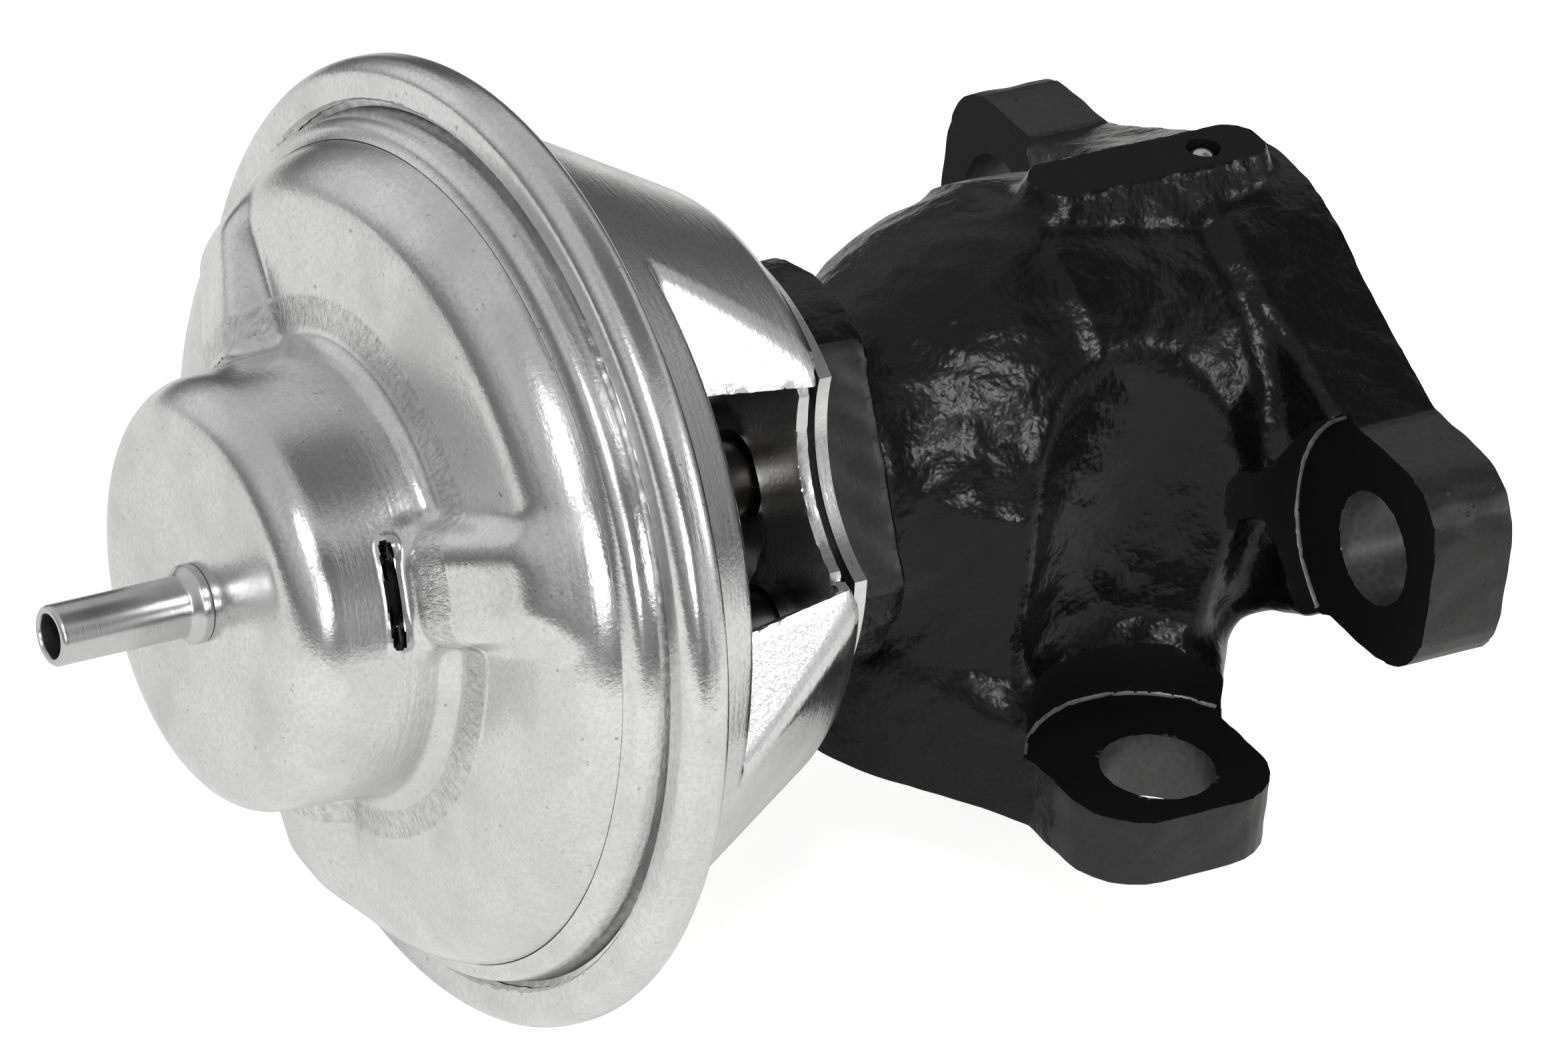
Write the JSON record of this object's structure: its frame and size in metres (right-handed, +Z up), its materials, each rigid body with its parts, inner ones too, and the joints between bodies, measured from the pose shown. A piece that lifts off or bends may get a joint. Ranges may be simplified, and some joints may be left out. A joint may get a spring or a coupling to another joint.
{
  "type": "exhaust gas recirculation valve",
  "caption": "Vacuum-operated exhaust gas valve: cast elbow housing with two-bolt flanges and a pressed-steel diaphragm can with a hose nipple.",
  "frame": {"origin": "centre of the base flange face, midway between its two bolt holes", "axes": "+Z up from the base flange face into the housing, +X along the valve axis from the can to the rear flange, +Y along both rows of bolt holes"},
  "size_m": [0.1075, 0.075, 0.075],
  "materials": {
    "black_cast_iron": "glossy black coat over a sand-cast surface",
    "zinc_plated_steel": "pressed sheet with clear zinc plating",
    "bright_steel": "turned and bright",
    "valve_steel": "ground stainless steel",
    "guide_bronze": "sintered bronze",
    "seal_rubber": "moulded",
    "diaphragm_rubber": "fabric-backed moulded rubber",
    "gasket_sheet": "pressed fibre sheet",
    "black_oxide_steel": "black oxide",
    "spring_steel": "drawn wire"
  },
  "bodies": {
    "housing": {"valve_body": "black_cast_iron", "pad_plug": "bright_steel", "seat_ring": "valve_steel", "stem_guide": "guide_bronze", "stem_seal": "seal_rubber", "seal_retainer": "bright_steel", "gas_shield": "valve_steel", "mounting_gasket": "gasket_sheet", "backing_plate": "zinc_plated_steel", "lower_case": "zinc_plated_steel", "mounting_screws": "black_oxide_steel", "screw_washers": "black_oxide_steel", "lock_washers": "black_oxide_steel", "cover": "zinc_plated_steel", "vacuum_nipple": "zinc_plated_steel", "diaphragm": "diaphragm_rubber", "return_spring": "spring_steel"},
    "valve": {"valve_head": "valve_steel", "valve_stem": "valve_steel", "upper_plate": "zinc_plated_steel", "lower_plate": "zinc_plated_steel", "nut_washer": "bright_steel", "stem_nut": "bright_steel"}
  },
  "joints": [
    {"name": "valve_lift", "type": "slide", "parent": "housing", "child": "valve", "axis": [-1, 0, 0], "range_m": [0, 0.005], "stiffness_N_per_m": 3000, "springref_m": -0.008, "deforming": ["return_spring", "diaphragm"]}
  ]
}
